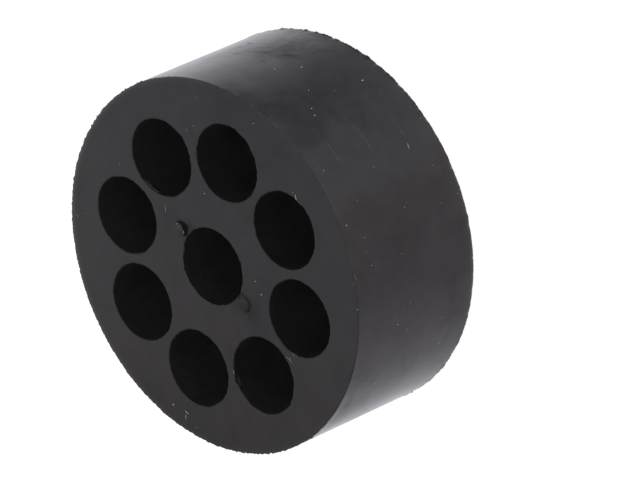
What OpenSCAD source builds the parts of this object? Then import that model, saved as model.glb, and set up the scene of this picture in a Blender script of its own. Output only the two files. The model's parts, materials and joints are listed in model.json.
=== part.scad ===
// Sealing insert for a cable gland: one moulded rubber disc with a ring of
// through holes for cables and one more hole in the middle. It stands on its
// back face at z = 0, and its axis is Z. The front face carries the marks of
// the gates, where the rubber ran into the mould.

/* [Body] */
// Outside diameter of the insert
body_d = 34; // [30:0.5:46]
// Height from the back face to the front face
body_h = 14.6; // [6:0.2:30]
// Radius of the edge around each end face
rim_r = 0.1; // [0.05:0.05:0.8]

/* [Cable holes] */
// Diameter of each cable hole
hole_d = 7; // [3:0.1:7.6]
// Diameter of the circle through the centres of the ring of holes
ring_d = 20.65; // [18.5:0.05:26]
// Number of holes in the ring
ring_holes = 8; // [3:1:8]

/* [Gate marks] */
// Number of gate marks, spread around the centre hole
gates = 2; // [1:1:2]
// Rubber left between the centre hole and a gate's recess
gate_wall = 0.15; // [0.05:0.05:0.8]
// Diameter of the recess around a gate
recess_d = 1.6; // [1.3:0.1:2.4]
// Depth of the recess below the front face
recess_h = 0.4; // [0.1:0.1:2]
// Diameter of the torn stub that stands in each recess
stub_d = 1.2; // [0.4:0.1:1.5]
// Height of the first gate's stub above the front face
first_stub_h = 0.3; // [0:0.05:1]
// Height of the second gate's stub above the front face
second_stub_h = 0.05; // [0:0.05:1]

/* [Hidden] */
$fn = 96;

rubber_colour = "#38383a";
// How far a cut runs past the face it opens on, and a stub's root below its recess
overlap = 1;
hole_step = 360 / ring_holes;
gate_r = hole_d / 2 + gate_wall + recess_d / 2;
stub_heights = [first_stub_h, second_stub_h];

// Half of the body's section, beside its axis, with a round at both rims
module body_section() {
    square([body_d / 2 - rim_r, body_h]);
    translate([0, rim_r])
        square([body_d / 2, body_h - 2 * rim_r]);
    for (rim_z = [rim_r, body_h - rim_r])
        translate([body_d / 2 - rim_r, rim_z])
            circle(rim_r);
}

// One cable hole, open at both faces
module cable_hole() {
    translate([0, 0, -overlap])
        cylinder(h = body_h + 2 * overlap, d = hole_d);
}

// The centre hole and the ring around it, with the first of the ring on +X
module cable_holes() {
    cable_hole();
    for (k = [0 : ring_holes - 1])
        rotate(k * hole_step)
            translate([ring_d / 2, 0, 0])
                cable_hole();
}

// Puts its children at gate k, on the front face and midway between two holes of the ring
module at_gate(k) {
    holes_passed = round(k * ring_holes / gates);
    rotate((holes_passed + 0.5) * hole_step)
        translate([gate_r, 0, body_h])
            children();
}

// The round recess that keeps a gate's stub from standing far out of the face
module gate_recess() {
    translate([0, 0, -recess_h])
        cylinder(h = recess_h + overlap, d = recess_d);
}

// What is left of a gate after the runner was torn off
module gate_stub(height) {
    root = recess_h + overlap;
    translate([0, 0, -root])
        cylinder(h = root + height, d = stub_d);
}

module sealing_insert() {
    color(rubber_colour) {
        difference() {
            rotate_extrude()
                body_section();
            cable_holes();
            for (k = [0 : gates - 1])
                at_gate(k)
                    gate_recess();
        }
        for (k = [0 : gates - 1])
            at_gate(k)
                gate_stub(stub_heights[k]);
    }
}

sealing_insert();
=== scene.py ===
"""Looks of the cable gland sealing insert: one moulded rubber disc with cable holes.

Shapes are worked out in millimetres and turned into metres when a mesh is made.
Angles around the axis are in degrees from +X, which runs through the first hole
of the ring. Pixels are those of the 640 by 480 photograph.
"""

import json
import math

import bmesh
import bpy
import numpy as np
from mathutils import Matrix, Vector, geometry


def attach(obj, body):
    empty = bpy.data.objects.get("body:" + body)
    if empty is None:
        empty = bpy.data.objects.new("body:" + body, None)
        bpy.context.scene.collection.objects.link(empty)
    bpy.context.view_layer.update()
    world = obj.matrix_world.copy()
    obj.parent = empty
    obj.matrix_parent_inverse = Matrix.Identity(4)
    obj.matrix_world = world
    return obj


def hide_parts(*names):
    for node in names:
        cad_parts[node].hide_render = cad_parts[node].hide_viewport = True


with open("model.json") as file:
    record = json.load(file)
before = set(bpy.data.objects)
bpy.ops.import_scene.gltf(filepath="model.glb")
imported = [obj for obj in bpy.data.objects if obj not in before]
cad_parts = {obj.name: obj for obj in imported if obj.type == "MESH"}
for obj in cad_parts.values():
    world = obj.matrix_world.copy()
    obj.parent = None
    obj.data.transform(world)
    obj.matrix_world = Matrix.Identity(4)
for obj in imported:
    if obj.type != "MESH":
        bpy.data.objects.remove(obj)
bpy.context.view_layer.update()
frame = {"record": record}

MM = 0.001
NODE = "sealing_insert"

# Regions of the body, in the order of its materials
FACE, SIDE, BORE = 0, 1, 2


def mount(name):
    """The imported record's mount of that name."""
    return next(m for m in frame["record"]["mounts"] if m["name"] == name)


# Sizes of the part, from the frame
BODY_R = mount("gland_seat")["dims"]["r_mm"]
FACE_Z = mount("front_face")["pos_m"][2] / MM
HOLE_R = mount("cable_hole_centre")["dims"]["r_mm"]
HOLE_CENTRES = [
    (m["pos_m"][0] / MM, m["pos_m"][1] / MM)
    for m in frame["record"]["mounts"]
    if m["name"].startswith("cable_hole_")
]

# Small shapes of the moulding. A land is the flat strip around an opening.
RIM_R = 0.08
MOUTH_R = 0.04
CENTRE_LAND = 0.045
RING_LAND = 0.10
RECESS_LAND = 0.01

# The gates' distance from the axis, and the radius of their recesses
GATE_R = 4.45
RECESS_R = 0.8

# The two gates. The torn stub stands in a shallow dish and is highest at one edge, where its wall
# and the slit beside it lie open. Over the rest of its turn it is smeared out into the face.
# "fall" is how far from that edge the stub runs out, and "lean" how far its wall leans inward.
# "shallow" says where the slit is less deep, "mouth" where the dish is wider, "pits" where it is
# deeper. Each "dull" is a loss of shine.
# The dish and the open wall are paler, partly as torn rubber and partly as painted light in their shade,
# by the scale before the seed.
GATES = (
    {
        "angle": 22.5, "stub_h": 0.30, "stub_r": 0.60, "lean": 0.02, "foot": 0.08, "fall": 1.6,
        "slit": 0.30, "shallow": ((352, 40, 0.22),), "dish": 0.09, "open_at": 274, "open_half": 87,
        "mouth": ((265, 62, 0.17), (80, 80, 0.45)), "pits": (),
        "dish_dull": 0.10, "top_dull": 0.30, "wear_and_painted_light": 1.0, "seed": 300,
    },
    {
        "angle": 202.5, "stub_h": 0.03, "stub_r": 0.58, "lean": 0.09, "foot": 0.06, "fall": 1.8,
        "slit": 0.13, "shallow": (), "dish": 0.07, "open_at": 240, "open_half": 68,
        "mouth": ((240, 60, 0.14), (120, 75, 0.20)), "pits": ((177, 7, 0.05), (308, 50, -0.05)),
        "dish_dull": 0.36, "top_dull": 0.18, "wear_and_painted_light": 0.3, "seed": 311,
    },
)

# How finely the mesh follows the round edges
RIM_STEPS = 2000
HOLE_STEPS = 150
GATE_STEPS = 96
RIM_ARC_STEPS = 4
MOUTH_ARC_STEPS = 2
FACE_GRID = 0.55

# Rings of the mesh beside a rim, on the face and down the side: distance from the round edge or
# depth below the face, share of the rim's raggedness, wear and painted highlight, and share of the
# painted glow, extra gloss that stands in for the bright background glowing into the outline
FACE_LEVELS = ((0.55, 0, 0, 0), (0.28, 0, 0, 0.35), (0.12, 0.1, 0.2, 0.8))
SIDE_LEVELS = (
    (0.12, 0.80, 0.9, 1.0), (0.18, 0.45, 0.5, 0.8), (0.27, 0.15, 0.2, 0.5), (0.42, 0, 0, 0.2),
    (1.2, 0, 0, 0), (3.0, 0, 0, 0), (5.2, 0, 0, 0),
)

# Rings down a hole's wall: depth below the face, share of the mouth's raggedness, wear, and loss
# of shine
WALL_LEVELS = (
    (0.1, 0.85, 0.15, 0.2), (0.22, 0.5, 0.05, 0), (0.5, 0.15, 0, 0), (1.6, 0, 0, 0), (4.2, 0, 0, 0),
)

# Rings in a gate's dish: share of the way from its mouth to the stub's foot, and of its depth
DISH_LEVELS = ((0.08, 0.05), (0.22, 0.16), (0.45, 0.34), (0.7, 0.58), (0.88, 0.8), (1, 1))

# Gain of shine on a rim's round edge, and loss of shine on a mouth's
RIM_SHINE = 0.60
MOUTH_DULL = 0.50
RIM_LEAST_PALE = 0.18

# Unevenness in millimetres of a hole's mouth, of the side and of the end faces. The side's is
# there in full from the relief depth on, below a face.
MOUTH_GRAIN = 0.036
MOUTH_WAVE = 0.024
SIDE_WAVE = 0.006
SIDE_RIPPLE = 0.003
RELIEF_DEPTH = 0.5
FACE_WAVE = 0.006

# Places on a rim that were cut or torn: angle, half width in degrees, height in millimetres
FRONT_RIM_MARKS = (
    (24, 0.9, -0.05), (50, 0.6, 0.04), (65, 1.6, -0.05), (74.5, 1.0, -0.04), (82.5, 1.8, 0.04),
    (88, 1.0, 0.04), (104.4, 0.5, -0.06), (107.5, 2.4, 0.05), (116.6, 0.7, -0.1),
    (120.2, 0.8, -0.09), (126.4, 0.8, 0.04), (187.5, 0.8, 0.05),
)
BACK_RIM_MARKS = (
    (220.5, 0.7, -0.05), (229, 3.0, -0.04), (238.7, 0.6, -0.06), (248.6, 1.2, -0.08),
    (251.5, 1.2, 0.07), (260.3, 0.8, 0.05), (266, 0.6, -0.05), (276, 2.0, 0.05),
    (282, 0.6, -0.04), (295.4, 0.8, -0.07), (297.4, 1.0, 0.06), (302.6, 1.2, 0.05),
    (308.6, 1.4, 0.12), (314.8, 1.4, -0.05), (325.6, 1.6, 0.09), (333.6, 1.2, 0.05),
    (343, 3.0, 0.05),
)

# Places where a rim is paler, partly worn and partly a painted highlight along its edge: angle, half
# width in degrees, strength
FRONT_RIM_PALE_AND_HIGHLIGHT = (
    (297, 18, 0.35), (308.9, 0.8, 1.3), (304.5, 1.4, 0.7), (301.6, 2.0, 0.8), (298.8, 0.8, 0.8),
    (294.4, 0.7, 1.2), (290.3, 1.6, 0.8), (286.2, 0.8, 0.5), (228, 6, 0.10),
)
BACK_RIM_PALE_AND_HIGHLIGHT = ((311, 17, 2.6), (288, 12, 0.8), (246, 36, 0.8))

# How far each rim strays from its circle, in millimetres: by its grain, by scallops, by the steps
# of the blade that trimmed it, and by its marks. The calm is a stretch that strays less: middle,
# half width and share. The "shine" marks raise the gloss of the round edge as a painted highlight,
# and the last marks raise that of its shoulder as a painted glow of the bright background into the
# outline.
RIMS = {
    "front": {
        "grain": 0.055, "scallop": 0.030, "step": 0.070, "teeth": 230, "lift": 0.014, "seed": 11,
        "marks": FRONT_RIM_MARKS, "calm": (268, 84, 0.85), "pale": FRONT_RIM_PALE_AND_HIGHLIGHT,
        "shine": ((308, 26, 1.3), (252, 13, 0.7), (218, 24, -0.9)),
        "painted_glow": ((50, 110, 0.90), (150, 90, 0.18), (281, 24, 0.08)),
    },
    "back": {
        "grain": 0.034, "scallop": 0.050, "step": 0.042, "teeth": 190, "lift": 0.008, "seed": 37,
        "marks": BACK_RIM_MARKS, "calm": (234, 30, 0.7), "pale": BACK_RIM_PALE_AND_HIGHLIGHT,
        "shine": ((308, 50, 2.2), (245, 40, 0.9)),
        "painted_glow": ((243, 50, 1.1),),
    },
}

# Places where a hole's mouth is nicked (outward) or has a bit of flash (inward), hole by hole,
# from the centre hole on: angle around the hole, half width in degrees, millimetres outward
MOUTH_MARKS = (
    ((20, 5, 0.03), (47, 9, -0.19), (75, 4, 0.09), (165, 8, -0.08), (209, 4, 0.05), (256, 4, 0.08)),
    ((70, 6, 0.04), (120, 9, -0.03), (246, 4, -0.04), (282, 4, 0.05)),
    ((77, 3, -0.05), (107, 3, -0.045), (132, 3, 0.045), (316, 3, 0.05)),
    ((74, 4, 0.05), (255, 5, -0.055), (283, 6, 0.04)),
    ((102, 4, -0.04), (212, 3, 0.05), (223, 4, -0.05), (346, 6, 0.06)),
    ((40, 4, 0.06), (66, 4, -0.06), (77, 8, 0.10), (81.5, 4.5, 0.15), (89, 4, -0.06),
     (120, 7, 0.08), (205, 3, 0.06), (286, 3, -0.035), (295, 3, 0.05), (312, 3, -0.035)),
    ((51, 5, -0.06), (73, 4, -0.04), (124, 4, 0.06), (144, 3, 0.08), (263, 3, 0.045)),
    ((73, 3, -0.04), (85, 4, -0.05), (101, 5, 0.04)),
    ((47, 4, 0.055), (82, 4, -0.04), (109, 3, 0.045), (309, 4, 0.055), (325, 4, -0.045)),
)

# Lips of torn rubber inside a hole: the hole, the angles where they start and end, their radii,
# and how far their tops and their roots lie below the face
FLAPS = ((1, 108, 138, 3.38, 3.45, 0.02, 0.45), (5, 73, 88, 3.39, 3.46, 0.12, 0.24))

# Gloss of the side around its turn: angle in degrees, and the share of the plain gloss. The curve is
# a painted reflection, brighter and darker as the side's surroundings would show in it, and
# darkest from 290 to 330 degrees.
SIDE_PROFILE = (
    (90, 1.0), (190, 0.62), (212, 0.71), (230, 0.93), (248, 0.90), (262, 1.08), (276, 1.33), (287, 1.10),
    (294, 0.73), (306, 0.45), (316, 0.60), (328, 0.90), (338, 1.12), (352, 1.09), (450, 1.0),
)

# Where the side is duller (below 0) or glossier besides, painted reflection like the curve: angle,
# height, half widths, change of gloss
SIDE_GLOSS = (
    (295, 8.4, 7, 0.8, -0.14), (321, 3.0, 10, 3.5, -0.06), (331, 6.0, 6, 2.5, -0.28),
    (337, 7.7, 2, 0.3, -0.6), (228, 2.7, 11, 1.0, -0.14), (198, 12.5, 12, 3.5, -0.22),
    (280, 0.8, 42, 1.8, 0.18), (250, 3.5, 14, 5.0, 0.20), (306, 3.5, 10, 4.0, 0.10),
    (317, 14.2, 10, 2.0, -0.25), (302, 12.3, 6, 2.8, -0.08), (346, 3.5, 13, 4.5, -0.16),
    (254, 7.5, 6, 3.2, -0.18), (205, 8.5, 10, 4.0, -0.12), (216, 3.0, 6, 2.5, 0.12),
    (203, 1.5, 5, 2.0, -0.15), (196, 13.2, 7, 1.8, -0.20), (327, 5.8, 6, 3.0, -0.30),
    (337, 11.5, 5, 2.5, 0.25), (268, 4.0, 6, 3.0, 0.14), (258, 1.2, 8, 1.6, 0.10),
    (214, 13.2, 12, 2.4, -0.14), (325, 1.2, 7, 1.6, -0.12), (334, 9.6, 6, 2.0, 0.22),
    (325.4, 8.0, 1.2, 0.18, -0.40), (326.9, 3.7, 0.9, 0.3, -0.22), (326.7, 2.8, 1.1, 0.35, -0.25),
    (333, 6.6, 2, 0.5, -0.3), (236.5, 2.9, 3, 1.8, -0.10),
)

# Where the front face is duller or glossier: x, y, radius, change of gloss. The large spots are
# painted light falling unevenly across the face, and the small dull ones around the gates painted shade.
FACE_GLOSS = (
    (11, 11, 9, 0.08), (-11, -11, 9, 0.07), (11, -11, 9, -0.07), (-11, 11, 9, -0.07),
    (4.1, 1.6, 2.2, -0.12), (-5.0, -3.0, 3.2, -0.15), (-6.2, -0.8, 2.4, -0.08),
    (0.0, 15.0, 4.0, 0.08), (5.6, 15.0, 3.0, 0.08), (-4.45, -2.25, 1.1, -0.16),
    (-3.38, -1.42, 0.28, -0.65), (-3.85, -0.85, 0.7, -0.14), (3.75, 0.75, 0.95, -0.17),
    (-3.33, -1.90, 0.28, -0.55), (-3.6, -2.2, 0.34, -0.25), (5.00, 2.05, 0.16, -0.25),
    (4.62, 2.28, 0.14, -0.25),
)

# Plain gloss of the face and of the holes' walls
FACE_SHINE = 0.85
BORE_SHINE = 0.25

# Tints of the sheen, painted light: they colour it by place as bluish and pinkish light would. The
# face runs from pinkish to bluish along X - Y, and the side's tints stand at these angles around it.
FACE_TINTS = ((1.0, 0.957, 0.940, 1), (0.945, 0.968, 1.0, 1))
SIDE_TINTS = (
    (90, (1.0, 0.935, 0.985)), (225, (1.0, 0.935, 0.980)), (262, (1.0, 0.951, 0.915)),
    (300, (0.905, 0.935, 1.0)), (352, (0.895, 0.928, 1.0)), (450, (1.0, 0.935, 0.985)),
)

# Streaks around the side, where the mould was turned: the stretch of their noise, their relief in
# millimetres and their change of gloss. They grow from the least to the full share between two
# angles.
STREAK_STRETCH = (0.16, 0.16, 2.6)
STREAK_RELIEF = 0.010
STREAK_GLOSS = 0.09
STREAK_ANGLES = (300, 335)
STREAK_LEAST = 0.25

# Thin pale scratches around the side: angle, height, half length in degrees, strength
SIDE_SCRATCHES = (
    (284, 11.3, 4, 0.9), (292, 11.3, 2, 0.5), (284, 7.4, 5, 0.9), (281.5, 3.37, 1.5, 1.3),
)
SCRATCH_HALF_WIDTH = 0.09
SCRATCH_PALENESS = 0.06

# Mottled stains on the side: angle, height, half widths, strength. The rest has the least
# strength. Their dents are in millimetres.
SIDE_STAINS = (
    (335, 4.4, 12, 3.8, 1.0), (342.2, 4.5, 2.2, 0.45, 1.5), (325, 3.0, 10, 3.5, 0.7),
    (343, 8.0, 7, 3.5, 0.3), (214, 6.0, 16, 7.0, 0.15),
)
STAIN_LEAST = 0.12
STAIN_DENTS = 0.07
DRIED_COLOUR = (0.5, 0.5, 0.5, 1)

# Colour of the pale rubber along an edge: partly torn pale by wear, partly a painted highlight on the
# rims and painted light in the gates' dishes
WEAR_AND_HIGHLIGHT_COLOUR = (0.4, 0.4, 0.41, 1)


def eased(share):
    """A share from 0 to 1 that starts and ends softly."""
    return share * share * (3 - 2 * share)


def degrees_from(turn, angle):
    """How far each place around a ring lies from an angle."""
    return np.abs((turn * 360 - angle + 180) % 360 - 180)


def ring_noise(turn, cells, seed):
    """Smooth noise from -1 to 1 around a ring, with that many cells in a turn."""
    values = np.random.default_rng(seed).uniform(-1, 1, cells)
    place = turn * cells
    cell = np.floor(place).astype(int)
    share = eased(place - cell)
    return values[cell % cells] * (1 - share) + values[(cell + 1) % cells] * share


def trimmed_steps(turn, teeth, seed):
    """The steps that a trimming blade leaves: each tooth climbs and then drops."""
    rng = np.random.default_rng(seed)
    lengths = rng.uniform(0.4, 1.6, teeth)
    heights = rng.uniform(0.1, 1.0, teeth)
    ends = np.cumsum(lengths) / lengths.sum()
    tooth = np.minimum(np.searchsorted(ends, turn, side="right"), teeth - 1)
    start = np.concatenate([[0.0], ends])[tooth]
    share = (turn - start) / (ends[tooth] - start)
    return heights[tooth] * (2 * share - 1)


def marks_around(turn, marks):
    """The sum of smooth bumps and notches around a ring, in millimetres."""
    total = np.zeros_like(turn)
    for angle, half_width, height in marks:
        away = degrees_from(turn, angle) / half_width
        total += np.where(away < 1, height * (1 - away ** 2) ** 2, 0)
    return total


def ragged_rim(turn, rim):
    """How far a trimmed rim stands out of its circle, in millimetres."""
    strays = (
        rim["grain"] * ring_noise(turn, 850, rim["seed"])
        + rim["scallop"] * ring_noise(turn, 210, rim["seed"] + 1)
        + rim["step"] * trimmed_steps(turn, rim["teeth"], rim["seed"] + 2)
    )
    calm_at, calm_half, calm_share = rim["calm"]
    away = degrees_from(turn, calm_at) / calm_half
    strays = strays * (1 - calm_share * np.clip((1 - away) / 0.2, 0, 1))
    return strays + marks_around(turn, rim["marks"])


def add_object(name, data):
    """A new object in the scene."""
    thing = bpy.data.objects.new(name, data)
    bpy.context.scene.collection.objects.link(thing)
    return thing


class Skin:
    """One mesh in millimetres: its vertices with their wear and painted light and their dullness, its
    faces and regions.
    """

    def __init__(self):
        self.points = []
        self.wear_and_painted_light = []
        self.dull = []
        self.faces = []
        self.regions = []

    def ring(self, points, wear_and_painted_light=0.0, dull=0.0):
        """Adds points and gives their indices."""
        first = len(self.points)
        self.points.extend(tuple(float(v) for v in p) for p in points)
        count = len(self.points) - first
        self.wear_and_painted_light.extend(np.broadcast_to(wear_and_painted_light, count).tolist())
        self.dull.extend(np.broadcast_to(dull, count).tolist())
        return list(range(first, len(self.points)))

    def face(self, corners, region):
        self.faces.append(tuple(corners))
        self.regions.append(region)

    def bridge(self, a, b, region):
        """Joins two rings by a band of faces."""
        count = len(a)
        for i in range(count):
            j = (i + 1) % count
            self.face((a[i], a[j], b[j], b[i]), region)

    def loft(self, rings, region):
        for a, b in zip(rings, rings[1:]):
            self.bridge(a, b, region)

    def cap(self, ring, middle, region):
        """Closes a ring over one point."""
        tip = self.ring([middle])[0]
        count = len(ring)
        for i in range(count):
            self.face((ring[i], ring[(i + 1) % count], tip), region)

    def to_object(self, name, materials):
        mesh = bpy.data.meshes.new(name)
        mesh.from_pydata([tuple(v * MM for v in p) for p in self.points], [], self.faces)
        for material in materials:
            mesh.materials.append(material)
        mesh.polygons.foreach_set("material_index", self.regions)
        mesh.attributes.new("wear_and_painted_light", "FLOAT", "POINT").data.foreach_set("value", self.wear_and_painted_light)
        mesh.attributes.new("dull", "FLOAT", "POINT").data.foreach_set("value", self.dull)
        work = bmesh.new()
        work.from_mesh(mesh)
        bmesh.ops.recalc_face_normals(work, faces=work.faces)
        work.to_mesh(mesh)
        work.free()
        mesh.shade_smooth()
        mesh.update()
        return add_object(name, mesh)


def around(angle, radius):
    """The point on a circle at that angle in degrees."""
    return (radius * math.cos(math.radians(angle)), radius * math.sin(math.radians(angle)))


def circle_points(centre, radius, height, count):
    """Points around a circle. Radius and height may be one value or one for each point."""
    turn = np.arange(count) / count
    angle = turn * 2 * math.pi
    radius = np.broadcast_to(radius, count)
    height = np.broadcast_to(height, count)
    return np.stack([centre[0] + radius * np.cos(angle), centre[1] + radius * np.sin(angle), height], 1)


def round_edge(radius, steps):
    """A quarter round: at each step its bend, its distance from the wall and its depth below the face."""
    bends = [math.pi / 2 * k / steps for k in range(steps + 1)]
    return [(bend, radius * (1 - math.sin(bend)), radius * (1 - math.cos(bend))) for bend in bends]


def outer_side(skin):
    """The round side with its two rims. Returns the ring where each end face begins."""
    turn = np.arange(RIM_STEPS) / RIM_STEPS
    # Each level: how far it lies inside the body's radius, its depth below the face, its share of
    # the rim's raggedness, its wear and painted highlight, its loss of shine, and its share of the
    # painted glow
    levels = [(RIM_R + away, 0.0, share, wear_and_painted_light, 0.0, painted_glow) for away, share, wear_and_painted_light, painted_glow in FACE_LEVELS]
    for bend, inset, depth in round_edge(RIM_R, RIM_ARC_STEPS):
        share = 0.4 + 0.6 * bend / (math.pi / 2)
        levels.append((inset, depth, share, 1.0, -RIM_SHINE * math.sin(2 * bend), 1.0))
    levels += [(0.0, depth, share, wear_and_painted_light, 0.0, painted_glow) for depth, share, wear_and_painted_light, painted_glow in SIDE_LEVELS]

    def rings(end):
        rim = RIMS[end]
        ragged = ragged_rim(turn, rim)
        lift = rim["lift"] * ring_noise(turn, 400, rim["seed"] + 5)
        # The paler stretches of the edge are partly wear and partly a painted highlight, the shine marks
        # a painted highlight, and the shoulder's extra gloss a painted glow of the bright background.
        pale = RIM_LEAST_PALE + marks_around(turn, rim["pale"])
        shine = 1 + marks_around(turn, rim["shine"])
        painted_glow_at = marks_around(turn, rim["painted_glow"])
        made = []
        for inset, depth, share, wear_and_painted_light, dull, painted_glow in levels:
            radius = BODY_R - inset + share * ragged
            radius = radius + side_relief(turn, depth, end) * min(depth / RELIEF_DEPTH, 1)
            down = depth - share * lift
            height = FACE_Z - down if end == "front" else np.maximum(down, 0)
            places = circle_points((0, 0), radius, height, RIM_STEPS)
            made.append(skin.ring(places, wear_and_painted_light * pale, dull * shine - painted_glow * painted_glow_at))
        return made

    front = rings("front")
    back = rings("back")
    # The first strip of the round edge still counts as the face
    border = len(FACE_LEVELS) + 1
    for made in (front, back):
        skin.loft(made[:border + 1], FACE)
        skin.loft(made[border:], SIDE)
    skin.bridge(front[-1], back[-1], SIDE)
    return front[0], back[0]


def side_relief(turn, depth, end):
    """Slow unevenness of the moulded side, in millimetres."""
    seed = 50 if end == "front" else 70
    ripple = ring_noise(turn, 70, seed + 1 + int(depth))
    return SIDE_WAVE * ring_noise(turn, 24, seed) + SIDE_RIPPLE * ripple


def bore(skin, centre, marks, land, seed):
    """One cable hole. Returns the rings where it meets the front and the back face."""
    turn = np.arange(HOLE_STEPS) / HOLE_STEPS
    # Each level: how far it lies outside the hole's radius, its depth below the face, its share of
    # the mouth's raggedness, its wear and its loss of shine
    edge = round_edge(MOUTH_R, MOUTH_ARC_STEPS)
    levels = [(outset, depth, 1.0, 0.25, MOUTH_DULL) for _, outset, depth in edge]
    levels += [(0.0, *level) for level in WALL_LEVELS]

    def rings(end, end_seed, end_marks):
        ragged = (
            MOUTH_GRAIN * ring_noise(turn, 75, end_seed)
            + MOUTH_WAVE * ring_noise(turn, 24, end_seed + 1)
            + marks_around(turn, end_marks)
        )
        # The land widens only where a nick needs it, so that it stays clear of the gates
        land_r = HOLE_R + MOUTH_R + land + np.maximum(ragged - 0.5 * land, 0)
        level_face = FACE_Z if end == "front" else 0.0
        made = [skin.ring(circle_points(centre, land_r, level_face, HOLE_STEPS))]
        for outset, depth, share, wear_and_painted_light, dull in levels:
            height = FACE_Z - depth if end == "front" else depth
            radius = HOLE_R + outset + share * ragged
            made.append(skin.ring(circle_points(centre, radius, height, HOLE_STEPS), wear_and_painted_light, dull))
        return made

    front = rings("front", seed, marks)
    back = rings("back", seed + 500, ())
    # The land and the first strip of the round edge count as the face
    border = 2
    for made in (front, back):
        skin.loft(made[:border + 1], FACE)
        skin.loft(made[border:], BORE)
    skin.bridge(front[-1], back[-1], BORE)
    return front[0], back[0]


def gate_mark(skin, centre, gate):
    """A gate's dish with the torn stub in it. Returns the ring where it meets the face."""
    turn = np.arange(GATE_STEPS) / GATE_STEPS
    seed = gate["seed"]
    stub_r, stub_h = gate["stub_r"], gate["stub_h"]
    open_angle = math.radians(gate["open_at"])
    away = degrees_from(turn, gate["open_at"]) / gate["open_half"]
    open_share = eased(np.clip((1.15 - away) / 0.3, 0, 1))
    # How far the wall and the torn top stray, in millimetres
    rough = 0.04 * ring_noise(turn, 14, seed) + 0.016 * ring_noise(turn, 30, seed + 1)
    torn = 0.03 * ring_noise(turn, 12, seed + 2) + 0.02 * ring_noise(turn, 26, seed + 3)
    rough = rough * open_share
    torn = torn * open_share
    mouth_r = RECESS_R + RECESS_LAND + marks_around(turn, gate["mouth"])
    foot_r = stub_r + gate["foot"]
    deeper = marks_around(turn, gate["pits"])
    slit = gate["slit"] - marks_around(turn, gate["shallow"]) + deeper

    def top(radius):
        """The stub's height, which falls away from its open edge and runs out at the mouth."""
        across = radius * np.cos(turn * 2 * math.pi - open_angle) - stub_r
        along = radius * np.sin(turn * 2 * math.pi - open_angle)
        fall = np.clip(1 - np.hypot(across, along) / gate["fall"], 0, 1) ** 1.6
        runout = eased(np.clip((mouth_r - radius) / 0.4, 0, 1))
        return stub_h * fall * np.maximum(open_share, runout)

    def ring(radius, open_height, wear_and_painted_light=0.0, dulled=0.0):
        """One ring, at its own height where the wall is open and on the smear where it isn't."""
        height = open_height * open_share + top(radius) * (1 - open_share)
        smeared = gate["top_dull"] * np.clip(top(radius) / (0.15 * stub_h), 0, 1)
        dull = dulled * open_share + smeared * (1 - open_share)
        points = circle_points(centre, radius, FACE_Z + height, GATE_STEPS)
        return skin.ring(points, wear_and_painted_light * gate["wear_and_painted_light"] * open_share, dull)

    # The guard ring keeps the face's shading flat right up to the mouth
    guard_gap = 0.012
    guard = ring(mouth_r + guard_gap, 0.0)
    rings = [guard, ring(mouth_r, 0.0)]
    # The dish pales inward and the slit and open wall are pale: partly torn rubber, partly painted light
    # in their shade.
    for inward, down in DISH_LEVELS:
        radius = mouth_r + (foot_r - mouth_r) * inward + 0.4 * rough * (inward < 1)
        dulled = gate["dish_dull"] * min(4 * inward, 1)
        rings.append(ring(radius, -down * (gate["dish"] + deeper), inward, dulled))
    # From the slit's floor up the stub's wall to its torn edge, and then across its top
    lean = gate["lean"]
    edge_r = stub_r - lean + 0.5 * rough
    edge_h = top(stub_r - lean) + torn * (stub_h / 0.3)
    rings += [
        ring(foot_r - 0.4 * gate["foot"], -slit, 0.9),
        ring(stub_r, -slit, 0.9),
        ring(stub_r - 0.5 * lean + 0.3 * rough, -0.5 * slit * (lean > 0.05), 0.8),
        ring(edge_r + 0.25 * lean, edge_h - 0.05, 0.5),
        ring(edge_r, edge_h - 0.02, 0.4),
        ring(edge_r - 0.04, edge_h, 0.3, 0.5 * gate["top_dull"]),
    ]
    for share in (0.78, 0.5, 0.25):
        radius = (stub_r - lean) * share
        rings.append(ring(radius, top(radius), 0.0, gate["top_dull"]))
    skin.loft(rings, FACE)
    skin.cap(rings[-1], (centre[0], centre[1], FACE_Z + float(np.mean(top(0.0)))), FACE)
    return guard


def flap(skin, centre, start, end, inner_r, outer_r, top, depth):
    """A thin lip of torn rubber along a hole's wall, pointed at both ends."""
    steps = 24
    # How far the lip's root reaches into the wall, and the slope of its underside
    root = 0.12
    slope = 0.05
    middle = (inner_r + outer_r) / 2
    sections = []
    for k in range(steps + 1):
        share = k / steps
        body = math.sin(math.pi * min(max(share, 0.02), 0.98)) ** 0.5
        half = (outer_r - inner_r) / 2 * body
        outline = (
            (middle - half, top * body), (middle + half, top * body),
            (outer_r + root, -depth), (outer_r, -depth - slope),
        )
        points = []
        for r, z in outline:
            x, y = around(start + (end - start) * share, r)
            points.append((centre[0] + x, centre[1] + y, FACE_Z + z))
        sections.append(skin.ring(points, 0.5))
    skin.loft(sections, FACE)
    skin.face(sections[0], FACE)
    skin.face(sections[-1], FACE)


def face_relief(x, y):
    """Slow unevenness of an end face, in millimetres."""
    return FACE_WAVE * math.sin(0.9 * x + 1.3 * math.sin(0.7 * y)) * math.cos(0.8 * y + 0.4 * x)


def inside(places, outline):
    """For each place, whether the closed outline goes around it."""
    x, y = places[:, 0], places[:, 1]
    within = np.zeros(len(places), bool)
    for (ax, ay), (bx, by) in zip(outline, np.roll(outline, -1, 0)):
        crosses = (ay > y) != (by > y)
        slope = (bx - ax) / (by - ay) if by != ay else 0.0
        within ^= crosses & (x < ax + (y - ay) * slope)
    return within


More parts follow.
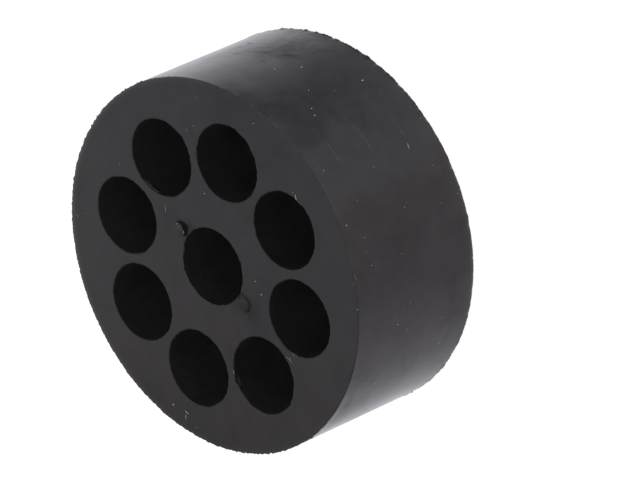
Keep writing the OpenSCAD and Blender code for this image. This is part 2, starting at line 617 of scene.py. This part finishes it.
def fill_face(skin, height, outer, openings):
    """Fills an end face between its outer ring and the rings of its openings."""
    corners = []
    indices = []
    edges = []
    outlines = []
    for ring in [outer] + openings:
        first = len(corners)
        places = [skin.points[i][:2] for i in ring]
        outlines.append(np.array(places))
        corners += places
        indices += ring
        edges += [(first + i, first + (i + 1) % len(ring)) for i in range(len(ring))]

    circles = []
    for outline in outlines[1:]:
        middle = outline.mean(0)
        circles.append((*middle, np.hypot(*(outline - middle).T).max() + 0.4 * FACE_GRID))

    outer_r = math.hypot(*corners[0])
    row_h = FACE_GRID * math.sqrt(3) / 2
    reach = int(outer_r / FACE_GRID) + 2
    for row in range(-reach, reach + 1):
        for column in range(-reach, reach + 1):
            x = (column + 0.5 * (row % 2)) * FACE_GRID
            y = row * row_h
            clear = math.hypot(x, y) < outer_r - 0.5 * FACE_GRID
            for middle_x, middle_y, keep_out in circles:
                clear = clear and math.hypot(x - middle_x, y - middle_y) > keep_out
            if clear:
                corners.append((x, y))
                indices += skin.ring([(x, y, height + face_relief(x, y))])

    flat = [Vector(corner) for corner in corners]
    _, _, triangles, origins, _, _ = geometry.delaunay_2d_cdt(flat, edges, [], 1, 1e-6, True)
    own = np.array([[origins[i][0] for i in triangle] for triangle in triangles])
    middles = np.array(corners)[own].mean(1)
    in_opening = np.zeros(len(own), bool)
    for outline in outlines[1:]:
        in_opening |= inside(middles, outline)
    for triangle in own[~in_opening]:
        skin.face([indices[i] for i in triangle], FACE)


def make_body(materials):
    """The whole insert as one closed mesh."""
    skin = Skin()
    front_rim, back_rim = outer_side(skin)
    front_openings = []
    back_openings = []
    for k, centre in enumerate(HOLE_CENTRES):
        land = CENTRE_LAND if k == 0 else RING_LAND
        front, back = bore(skin, centre, MOUTH_MARKS[k], land, 100 + 7 * k)
        front_openings.append(front)
        back_openings.append(back)
    for gate in GATES:
        front_openings.append(gate_mark(skin, around(gate["angle"], GATE_R), gate))
    fill_face(skin, FACE_Z, front_rim, front_openings)
    fill_face(skin, 0.0, back_rim, back_openings)
    for hole, start, end, inner_r, outer_r, top, root in FLAPS:
        flap(skin, HOLE_CENTRES[hole], start, end, inner_r, outer_r, -top, root)
    return skin.to_object("insert_body", materials)


class Nodes:
    """Short forms for building a material's node tree."""

    def __init__(self, tree):
        self.tree = tree
        self.tree.nodes.clear()

    def add(self, kind, inputs=None, **settings):
        node = self.tree.nodes.new(kind)
        for key, value in settings.items():
            setattr(node, key, value)
        for key, value in (inputs or {}).items():
            if isinstance(value, bpy.types.NodeSocket):
                self.tree.links.new(value, node.inputs[key])
            else:
                node.inputs[key].default_value = value
        return node

    def math(self, operation, a, b=0.0, c=0.0):
        return self.add("ShaderNodeMath", {0: a, 1: b, 2: c}, operation=operation).outputs[0]

    def total(self, values):
        result = values[0]
        for value in values[1:]:
            result = self.plus(result, value)
        return result

    def scaled(self, vector, scale):
        return self.add("ShaderNodeVectorMath", {0: vector, 1: scale}, operation="MULTIPLY").outputs[0]

    def plus(self, a, b):
        return self.math("ADD", a, b)

    def times(self, a, b):
        return self.math("MULTIPLY", a, b)

    def brightened(self, colour, factor):
        inputs = {0: colour, "Scale": factor}
        return self.add("ShaderNodeVectorMath", inputs, operation="SCALE").outputs[0]

    def noise(self, vector, scale, detail=2.0, roughness=0.5):
        inputs = {"Vector": vector, "Scale": scale, "Detail": detail, "Roughness": roughness}
        return self.add("ShaderNodeTexNoise", inputs).outputs["Fac"]

    def between(self, value, low, high, to_low, to_high, smooth=False):
        """The value, mapped from one range to another and held at its ends."""
        inputs = {"Value": value, "From Min": low, "From Max": high, "To Min": to_low, "To Max": to_high}
        kind = "SMOOTHSTEP" if smooth else "LINEAR"
        return self.add("ShaderNodeMapRange", inputs, interpolation_type=kind).outputs["Result"]

    def spread(self, noise, lowest, highest):
        """A noise's usual range, mapped to a lowest and a highest value."""
        return self.between(noise, 0.3, 0.7, lowest, highest)

    def ramp(self, value, stops, interpolation="LINEAR"):
        """The colour at a value, from stops that are each a position and a colour."""
        low, high = stops[0][0], stops[-1][0]
        node = self.add("ShaderNodeValToRGB", {"Fac": self.between(value, low, high, 0.0, 1.0)})
        node.color_ramp.interpolation = interpolation
        elements = node.color_ramp.elements
        while len(elements) < len(stops):
            elements.new(0.5)
        for element, (position, colour) in zip(elements, stops):
            element.position = (position - low) / (high - low)
            element.color = (*colour, 1)
        return node.outputs["Color"]

    def curve(self, value, points):
        """A soft curve through points that are each a position and a height."""
        top = max(height for _, height in points)
        stops = [(position, (height / top,) * 3) for position, height in points]
        return self.times(self.ramp(value, stops, "EASE"), top)

    def mix(self, factor, a, b):
        return self.add("ShaderNodeMix", {0: factor, 6: a, 7: b}, data_type="RGBA").outputs[2]


def new_material(name):
    """An empty material, and the short forms for its node tree."""
    material = bpy.data.materials.new(name)
    material.use_nodes = True
    return material, Nodes(material.node_tree)


def place_in_mm(n):
    """The place on the object, in millimetres."""
    return n.scaled(n.add("ShaderNodeTexCoord").outputs["Object"], (1 / MM,) * 3)


# The rubber's colour drifts between these two, on the skin and inside the holes. The holes' pair
# is about twice as pale as the skin's, painted light inside the holes.
SKIN_COLOURS = ((0.0108, 0.0100, 0.0118, 1), (0.0122, 0.0102, 0.0108, 1))
BORE_COLOURS = ((0.0232, 0.0239, 0.0238, 1), (0.0240, 0.0239, 0.0231, 1))

# The lowest and the highest change that the slow and the finer noise bring
SLOW = {"tone": (0.85, 1.15), "rough": (-0.03, 0.03), "gloss": (-0.05, 0.05)}
FINER = {"tone": (-0.10, 0.10), "rough": (-0.02, 0.02), "gloss": (-0.04, 0.04)}

# Relief of the rubber's grain and of its finer unevenness, in millimetres
GRAIN_RELIEF = 0.0005
FINER_RELIEF = 0.002


def side_angle(n, parts):
    """The angle around the axis. It runs from 90 to 450 degrees, so it starts on the unseen side."""
    turned = n.math("DEGREES", n.math("ARCTAN2", parts["Y"], parts["X"]))
    return n.plus(n.math("FLOORED_MODULO", n.plus(turned, -90.0), 360.0), 90.0)


def spot(n, across, along, ragged, place, half_size):
    """A soft spot from 0 to 1 around a place. The ragged noise breaks up its edge."""
    across = n.math("MULTIPLY_ADD", across, 1 / half_size[0], -place[0] / half_size[0])
    along = n.math("MULTIPLY_ADD", along, 1 / half_size[1], -place[1] / half_size[1])
    joined = n.add("ShaderNodeCombineXYZ", {0: across, 1: along}).outputs[0]
    away = n.add("ShaderNodeVectorMath", {0: joined}, operation="LENGTH").outputs["Value"]
    return n.between(n.plus(away, ragged), 0.1, 1.2, 1.0, 0.0, smooth=True)


def with_spots(n, value, across, along, ragged, spots):
    """The value with every spot's change: each spot is its place, its half sizes and the change."""
    for x, y, half_x, half_y, change in spots:
        mask = spot(n, across, along, ragged, (x, y), (half_x, half_y))
        value = n.math("MULTIPLY_ADD", mask, change, value)
    return value


def face_gloss(n, in_mm, parts):
    """The face's gloss: one value with soft spots of painted light and shade."""
    ragged = n.between(n.noise(in_mm, 0.5, 3.0), 0.25, 0.75, -0.3, 0.3)
    spots = [(x, y, radius, radius, change) for x, y, radius, change in FACE_GLOSS]
    return with_spots(n, FACE_SHINE, parts["X"], parts["Y"], ragged, spots)


def side_gloss(n, in_mm, angle, height):
    """The side's gloss, a painted reflection: its curve around the turn, which leans with the height, and
    its spots.
    """
    warp = n.spread(n.noise(in_mm, 0.30, 2.0), -4.0, 4.0)
    low = n.math("MINIMUM", n.math("SUBTRACT", height, 8.0), 0.0)
    lean = n.times(low, n.between(angle, 268, 300, 0.0, 0.9, smooth=True))
    gloss = n.curve(n.total([angle, warp, lean]), SIDE_PROFILE)
    ragged = n.between(n.noise(in_mm, 0.5, 3.0), 0.25, 0.75, -0.3, 0.3)
    return with_spots(n, gloss, angle, height, ragged, SIDE_GLOSS)


def add_streaks(n, in_mm, look, angle):
    """Streaks around the side, in its relief and its gloss."""
    streak = n.noise(n.scaled(in_mm, STREAK_STRETCH), 1.0, 4.0, 0.6)
    strength = n.between(angle, *STREAK_ANGLES, STREAK_LEAST, 1.0, smooth=True)
    relief = n.times(n.times(streak, strength), STREAK_RELIEF)
    look["relief"] = n.plus(look["relief"], relief)
    gloss = n.times(n.spread(streak, -STREAK_GLOSS, STREAK_GLOSS), strength)
    look["gloss"] = n.plus(look["gloss"], gloss)


def add_stains(n, in_mm, look, angle, height):
    """Small blots where something dried on the side: uneven, rougher and a little pale."""
    ragged = n.between(n.noise(in_mm, 0.4, 2.0), 0.25, 0.75, -0.5, 0.5)
    cover = with_spots(n, STAIN_LEAST, angle, height, ragged, SIDE_STAINS)
    blots = n.times(n.between(n.noise(in_mm, 0.55, 5.0, 0.65), 0.36, 0.64, -1.0, 1.0), cover)
    look["gloss"] = n.times(look["gloss"], n.math("MULTIPLY_ADD", blots, 0.3, 1.0))
    dents = n.times(n.noise(n.scaled(in_mm, (0.45, 0.45, 1.0)), 0.8, 2.5, 0.5), cover)
    look["relief"] = n.plus(look["relief"], n.times(dents, STAIN_DENTS))
    look["rough"] = n.total([look["rough"], n.times(blots, 0.06), n.times(cover, 0.09)])
    dried = n.math("MAXIMUM", n.times(blots, 0.03), 0.0)
    look["colour"] = n.mix(dried, look["colour"], DRIED_COLOUR)


def add_scratches(n, in_mm, look, angle, height):
    """Thin pale scratches around the side."""
    fine = n.spread(n.noise(in_mm, 3.0, 2.0), -0.8, 0.8)
    for at_angle, at_height, half_angle, pale in SIDE_SCRATCHES:
        mask = spot(n, angle, height, fine, (at_angle, at_height), (half_angle, SCRATCH_HALF_WIDTH))
        paleness = n.times(mask, pale * SCRATCH_PALENESS)
        look["colour"] = n.mix(paleness, look["colour"], DRIED_COLOUR)


def add_painted_wall_light(n, look, parts):
    """Painted light and shade on the holes' walls: paler deep inside, where shade falls, and darker
    toward their mouths and toward -Y.
    """
    aside = n.between(parts["Y"], -10.0, 10.0, 0.90, 1.10)
    from_middle = n.math("ABSOLUTE", n.math("SUBTRACT", parts["Z"], FACE_Z / 2))
    paler = n.times(aside, n.between(from_middle, FACE_Z / 2, 1.0, 0.62, 1.72))
    look["colour"] = n.brightened(look["colour"], paler)
    look["gloss"] = n.plus(look["gloss"], BORE_SHINE)


def add_wear_and_painted_light(n, in_mm, look):
    """Paleness along the edges, partly wear and partly painted highlight and painted light, and their
    loss or gain of shine, as the mesh carries them.
    """
    wear_and_painted_light = n.add("ShaderNodeAttribute", attribute_name="wear_and_painted_light").outputs["Fac"]
    dull = n.add("ShaderNodeAttribute", attribute_name="dull").outputs["Fac"]
    broken = n.between(n.noise(in_mm, 2.2, 3.0, 0.7), 0.5, 0.7, 0.0, 1.0, smooth=True)
    pale_edge = n.times(wear_and_painted_light, n.math("MULTIPLY_ADD", broken, 0.05, 0.018))
    look["colour"] = n.mix(pale_edge, look["colour"], WEAR_AND_HIGHLIGHT_COLOUR)
    look["rough"] = n.math("MULTIPLY_ADD", wear_and_painted_light, 0.12, look["rough"])
    look["gloss"] = n.math("SUBTRACT", look["gloss"], dull)


def plain_look(n, in_mm, roughness, colours):
    """The rubber before its region adds to it: colour, roughness, gloss and relief."""
    slow = n.noise(in_mm, 0.25, 3.0)
    finer = n.noise(in_mm, 1.4, 3.0, 0.6)
    grain = n.noise(in_mm, 6.0, 1.0)
    tone, rough, gloss = (
        n.plus(n.spread(slow, *SLOW[what]), n.spread(finer, *FINER[what]))
        for what in ("tone", "rough", "gloss")
    )
    film = n.between(n.noise(n.scaled(in_mm, (0.9, 1.0, 1.1)), 0.4, 2.0), 0.35, 0.65, 0.0, 1.0)
    return {
        "colour": n.brightened(n.mix(film, *colours), tone),
        "rough": n.plus(rough, roughness),
        "gloss": gloss,
        "relief": n.plus(n.times(grain, GRAIN_RELIEF), n.times(finer, FINER_RELIEF)),
    }


def rubber(name, roughness, index, region):
    """Matt black rubber, with what its region of the body adds to it."""
    material, n = new_material(name)
    in_mm = place_in_mm(n)
    parts = n.add("ShaderNodeSeparateXYZ", {0: in_mm}).outputs
    drift = n.spread(n.noise(in_mm, 0.16, 3.0, 0.6), -8.0, 8.0)
    look = plain_look(n, in_mm, roughness, BORE_COLOURS if region == BORE else SKIN_COLOURS)
    if region == SIDE:
        angle = side_angle(n, parts)
        height = parts["Z"]
        look["gloss"] = n.plus(look["gloss"], side_gloss(n, in_mm, angle, height))
        add_streaks(n, in_mm, look, angle)
        add_stains(n, in_mm, look, angle, height)
        add_scratches(n, in_mm, look, angle, height)
        tint = n.ramp(n.plus(angle, drift), SIDE_TINTS)
    else:
        if region == FACE:
            look["gloss"] = n.plus(look["gloss"], face_gloss(n, in_mm, parts))
        else:
            add_painted_wall_light(n, look, parts)
        diagonal = n.total([parts["X"], n.times(parts["Y"], -1.0), drift])
        tint = n.mix(n.between(diagonal, -BODY_R, BODY_R, 0.0, 1.0), *FACE_TINTS)
    add_wear_and_painted_light(n, in_mm, look)

    bump = n.add("ShaderNodeBump", {"Height": look["relief"], "Distance": MM, "Strength": 1.0}).outputs[0]
    shader = n.add("ShaderNodeBsdfPrincipled", {
        "Base Color": look["colour"], "Roughness": look["rough"], "IOR": index, "Normal": bump,
        "Specular IOR Level": n.times(look["gloss"], 0.5), "Specular Tint": tint,
    }).outputs[0]
    n.add("ShaderNodeOutputMaterial", {"Surface": shader})
    return material


# The dust's colour drifts between these two
DUST_COLOURS = ((0.66, 0.65, 0.64, 1), (0.86, 0.86, 0.86, 1))
DUST_ROUGHNESS = 0.85
DUST_RELIEF = 0.01


def dust_material():
    """Pale dry dust and lint."""
    material, n = new_material("dust")
    in_mm = place_in_mm(n)
    colour = n.mix(n.spread(n.noise(in_mm, 8.0, 3.0), 0.0, 1.0), *DUST_COLOURS)
    rough = n.noise(in_mm, 30.0, 2.0)
    bump = n.add("ShaderNodeBump", {"Height": rough, "Distance": DUST_RELIEF * MM}).outputs[0]
    inputs = {"Base Color": colour, "Roughness": DUST_ROUGHNESS, "Normal": bump}
    shader = n.add("ShaderNodeBsdfPrincipled", inputs).outputs[0]
    n.add("ShaderNodeOutputMaterial", {"Surface": shader})
    return material


class Photo:
    """The photograph's camera: far away, with a long lens, and rolled on its axis."""

    # Where it stands and how it is rolled, in degrees, and how far off the face's centre is
    AZIMUTH, ELEVATION, ROLL = -91.76, 41.99, -113.94
    DEPTH = 637.6
    FOCAL_PX = 7433.0
    FACE_CENTRE_PX = (212.7, 266.55)
    FRAME_PX = (640, 480)
    SENSOR_MM = 36.0

    def __init__(self):
        a, e = math.radians(self.AZIMUTH), math.radians(self.ELEVATION)
        self.back = Vector((math.cos(e) * math.cos(a), math.cos(e) * math.sin(a), math.sin(e)))
        level = Vector((0, 0, 1)).cross(self.back).normalized()
        rise = self.back.cross(level)
        roll = math.radians(self.ROLL)
        self.right = math.cos(roll) * level + math.sin(roll) * rise
        self.up = self.back.cross(self.right)
        across, down = (
            (centre - size / 2) / self.FOCAL_PX * self.DEPTH
            for centre, size in zip(self.FACE_CENTRE_PX, self.FRAME_PX)
        )
        face_centre = Vector((0, 0, FACE_Z))
        self.place = face_centre + self.back * self.DEPTH - self.right * across + self.up * down

    def add_camera(self):
        lens = bpy.data.cameras.new("camera")
        lens.sensor_width = self.SENSOR_MM
        lens.lens = self.FOCAL_PX / self.FRAME_PX[0] * self.SENSOR_MM
        lens.clip_start = 0.01
        lens.clip_end = 50
        camera = add_object("camera", lens)
        turn = Matrix((self.right, self.up, self.back)).transposed()
        camera.matrix_world = Matrix.Translation(self.place * MM) @ turn.to_4x4()
        bpy.context.scene.camera = camera

    def ray(self, pixel):
        """The direction in which the camera sees the middle of a pixel."""
        across, down = ((at + 0.5 - size / 2) / self.FOCAL_PX for at, size in zip(pixel, self.FRAME_PX))
        return (self.right * across - self.up * down - self.back).normalized()

    def on_face(self, pixel, lift=0.0):
        """Where the pixel falls on the front face, or on a level above it, and the normal."""
        ray = self.ray(pixel)
        return self.place + ray * ((FACE_Z + lift - self.place.z) / ray.z), Vector((0, 0, 1))

    def on_side(self, pixel):
        """Where the pixel falls on the side, and the side's normal there."""
        ray = self.ray(pixel)
        a = ray.x ** 2 + ray.y ** 2
        b = 2 * (self.place.x * ray.x + self.place.y * ray.y)
        c = self.place.x ** 2 + self.place.y ** 2 - BODY_R ** 2
        point = self.place + ray * ((-b - math.sqrt(b * b - 4 * a * c)) / (2 * a))
        return point, Vector((point.x, point.y, 0)).normalized()

    def on_insert(self, pixel):
        """The face's point for a pixel on the face, or else the side's."""
        point, normal = self.on_face(pixel)
        return (point, normal) if math.hypot(point.x, point.y) < BODY_R else self.on_side(pixel)


# Specks of dust in the photograph, each at the pixel that it fills, by radius in millimetres
SPECK_PIXELS = {
    0.075: ((362, 80),),
    0.067: ((314, 115), (301, 67)),
    0.057: ((346, 225), (311, 108), (173, 404), (274, 69), (261, 294)),
    0.048: ((397, 324), (374, 383), (308, 90)),
    0.042: ((323, 170), (204, 193), (255, 281), (371, 265)),
    0.037: ((457, 193), (196, 427), (253, 123), (357, 309)),
    0.031: ((334, 90), (410, 302), (193, 125), (404, 207), (364, 237)),
    0.026: ((441, 202), (354, 275), (353, 284), (366, 251), (119, 163), (357, 200), (401, 253),
            (407, 329), (439, 343), (420, 118)),
    0.022: ((266, 101), (373, 167), (432, 165), (196, 97), (406, 202), (85, 213), (408, 307),
            (441, 317), (91, 298), (301, 204), (292, 192), (337, 159)),
}

# Fibres of lint in the photograph: from and to pixel, sideways bow in pixels, radius in millimetres
LINT = (
    ((184.9, 410.4), (188.2, 413.8), -0.2, 0.026), ((185.0, 413.8), (186.2, 419.2), 0.2, 0.013),
    ((294.9, 194.0), (296.2, 199.8), 0.2, 0.020), ((296.8, 200.6), (299.2, 203.2), 0.0, 0.007),
    ((406.6, 142.6), (408.6, 148.6), 0.0, 0.022), ((285.5, 356.4), (291.6, 362.9), -1.0, 0.009),
    ((291.8, 352.6), (296.4, 356.4), 0.3, 0.005), ((233.2, 369.8), (233.4, 373.4), 0.0, 0.012),
    ((164.2, 203.4), (164.8, 206.8), -0.2, 0.005), ((164.8, 206.8), (164.9, 211.2), -0.3, 0.009),
    ((353.6, 276.9), (357.8, 279.0), 0.3, 0.006), ((186.0, 127.8), (186.5, 132.8), 0.0, 0.005),
    ((76.0, 213.6), (78.4, 216.8), 0.3, 0.009), ((317.5, 165.8), (317.7, 169.6), 0.0, 0.005),
)
LINT_STEPS = 8

# Pale torn shreds on the first gate's stub, partly painted glints on its torn edge: from and to pixel,
# radius in millimetres
SHREDS_AND_GLINTS = (((175.7, 223.6), (176.4, 222.8), 0.019), ((183.3, 230.4), (183.2, 232.4), 0.021))

# Specks on the unseen side: how many, between which angles, how far from the faces, which sizes
UNSEEN_SPECKS = 45
UNSEEN_ANGLES = (5, 175)
UNSEEN_MARGIN = 0.6
UNSEEN_SIZES = (0.016, 0.02, 0.025, 0.031, 0.04)

# A speck's rings, in shares of its radius: height above the surface, and width
SPECK_RINGS = ((-0.3, 0.75), (0.25, 1.0), (0.8, 0.65))


def speck(skin, point, normal, radius, rng):
    """One irregular grain that sits on the surface."""
    side = normal.orthogonal().normalized()
    other = normal.cross(side)
    rings = []
    count = 7
    for lift, width in SPECK_RINGS:
        points = []
        for k in range(count):
            angle = 2 * math.pi * k / count
            reach = radius * width * rng.uniform(0.75, 1.25)
            offset = side * (reach * math.cos(angle)) + other * (reach * math.sin(angle))
            points.append(point + offset + normal * (radius * lift * rng.uniform(0.8, 1.2)))
        rings.append(skin.ring(points))
    skin.loft(rings, 0)
    skin.cap(rings[0], point - normal * (radius * 0.4), 0)
    skin.cap(rings[-1], point + normal * (radius * 1.1), 0)


def fibre(skin, points, normals, radius):
    """A thin thread through the points, lifted by its own radius."""
    count = 6
    rings = []
    for k, (point, normal) in enumerate(zip(points, normals)):
        ahead = (points[min(k + 1, len(points) - 1)] - points[max(k - 1, 0)]).normalized()
        side = ahead.cross(normal).normalized()
        share = k / (len(points) - 1)
        thick = radius * (0.35 + 0.65 * math.sin(math.pi * share) ** 0.5)
        centre = point + normal * radius
        section = []
        for i in range(count):
            angle = 2 * math.pi * i / count
            section.append(centre + side * (thick * math.cos(angle)) + normal * (thick * math.sin(angle)))
        rings.append(skin.ring(section))
    skin.loft(rings, 0)
    skin.face(rings[0], 0)
    skin.face(rings[-1], 0)


def make_dust(photo, material):
    """The specks and fibres that the photograph shows, and a few more on the unseen side."""
    rng = np.random.default_rng(5)
    skin = Skin()
    for radius, pixels in SPECK_PIXELS.items():
        for pixel in pixels:
            point, normal = photo.on_insert(pixel)
            speck(skin, point, normal, radius, rng)
    for start, end, bow, radius in LINT:
        a, b = Vector(start), Vector(end)
        sideways = Vector((a.y - b.y, b.x - a.x)).normalized()
        points, normals = [], []
        for k in range(LINT_STEPS + 1):
            share = k / LINT_STEPS
            pixel = a.lerp(b, share) + sideways * (bow * 4 * share * (1 - share))
            point, normal = photo.on_insert(pixel)
            points.append(point)
            normals.append(normal)
        fibre(skin, points, normals, radius)
    # These pale shreds are partly painted glints on the stub's torn edge.
    for start, end, radius in SHREDS_AND_GLINTS:
        ends = [photo.on_face(pixel, GATES[0]["stub_h"]) for pixel in (start, end)]
        middle = ((ends[0][0] + ends[1][0]) / 2, ends[0][1])
        points, normals = zip(ends[0], middle, ends[1])
        fibre(skin, points, normals, radius)
    for _ in range(UNSEEN_SPECKS):
        normal = Vector((*around(rng.uniform(*UNSEEN_ANGLES), 1), 0))
        height = rng.uniform(UNSEEN_MARGIN, FACE_Z - UNSEEN_MARGIN)
        speck(skin, normal * BODY_R + Vector((0, 0, height)), normal, rng.choice(UNSEEN_SIZES), rng)
    return skin.to_object("insert_dust", [material])


# What the floor shows in reflections and to the camera, its colour under light, and half its
# width in metres
FLOOR_GLOW = (0.770, 0.755, 0.805, 1)
FLOOR_WHITE = (0.820, 0.820, 0.820, 1)
FLOOR_COLOUR = (0.45, 0.45, 0.45, 1)
FLOOR_HALF = 3.0

# The plain light from all around
STUDIO_COLOUR = (0.985, 0.965, 1, 1)
STUDIO_STRENGTH = 0.74

# The key lamp, in metres: its side, its distance along the line on which the face mirrors the
# camera, and how far it stands aside of it, in a direction in degrees from +X
FACE_MIRROR = Vector((0.026, 0.743, 0.669))
KEY_SIZE = 0.22
KEY_AWAY = 0.25
KEY_ASIDE = 0.11
KEY_ASIDE_ANGLE = 38
KEY_RADIANCE = 0.42
KEY_COLOUR = (0.97, 0.97, 1.0)


def make_floor():
    """A plain white floor. It looks white to the camera and in reflections, and takes the shadow."""
    material, n = new_material("floor_white")
    path = n.add("ShaderNodeLightPath").outputs
    straight = n.math("MAXIMUM", path["Is Camera Ray"], path["Is Glossy Ray"])
    seen = n.math("MAXIMUM", straight, path["Is Transmission Ray"])
    diffuse = n.add("ShaderNodeBsdfDiffuse", {"Color": FLOOR_COLOUR}).outputs[0]
    colour = n.mix(path["Is Camera Ray"], FLOOR_GLOW, FLOOR_WHITE)
    glow = n.add("ShaderNodeEmission", {"Color": colour, "Strength": seen}).outputs[0]
    both = n.add("ShaderNodeAddShader", {0: diffuse, 1: glow}).outputs[0]
    n.add("ShaderNodeOutputMaterial", {"Surface": both})

    h = FLOOR_HALF
    mesh = bpy.data.meshes.new("floor")
    mesh.from_pydata([(-h, -h, 0), (h, -h, 0), (h, h, 0), (-h, h, 0)], [], [(0, 1, 2, 3)])
    mesh.materials.append(material)
    floor = add_object("floor", mesh)


def make_world():
    """The plain pale light of a studio."""
    world = bpy.data.worlds.new("studio")
    bpy.context.scene.world = world
    world.use_nodes = True
    n = Nodes(world.node_tree)
    inputs = {"Color": STUDIO_COLOUR, "Strength": STUDIO_STRENGTH}
    background = n.add("ShaderNodeBackground", inputs).outputs[0]
    n.add("ShaderNodeOutputWorld", {"Surface": background})


def make_key_lamp():
    """A soft square lamp that the front face mirrors a little, most of all on its +X side."""
    turned = math.radians(KEY_ASIDE_ANGLE)
    aside = Vector((math.cos(turned), math.sin(turned), 0))
    aside = (aside - aside.dot(FACE_MIRROR) * FACE_MIRROR).normalized()
    lamp = bpy.data.lights.new("key", "AREA")
    lamp.shape = "SQUARE"
    lamp.size = KEY_SIZE
    lamp.energy = KEY_RADIANCE * math.pi * KEY_SIZE ** 2
    lamp.color = KEY_COLOUR
    face_centre = Vector((0, 0, FACE_Z * MM))
    place = face_centre + KEY_AWAY * FACE_MIRROR + KEY_ASIDE * aside
    holder = add_object("key", lamp)
    holder.location = place
    holder.rotation_mode = "QUATERNION"
    holder.rotation_quaternion = (place - face_centre).to_track_quat("Z", "Y")
    holder.visible_camera = False


# The rubber of the body's three regions, in their order: name, roughness, index of refraction
RUBBERS = (("rubber_face", 0.30, 1.4), ("rubber_side", 0.19, 1.4), ("rubber_bore", 0.45, 1.5))


def main():
    """The camera, the studio and the insert with its dust, attached to the root, with the imported part
    hidden.
    """
    bpy.context.scene.view_settings.view_transform = "Standard"
    photo = Photo()
    photo.add_camera()
    make_floor()
    make_world()
    make_key_lamp()
    body = make_body([rubber(*looks, region) for region, looks in enumerate(RUBBERS)])
    dust = make_dust(photo, dust_material())
    for piece in (body, dust):
        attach(piece, "root")
    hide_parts(NODE)


main()
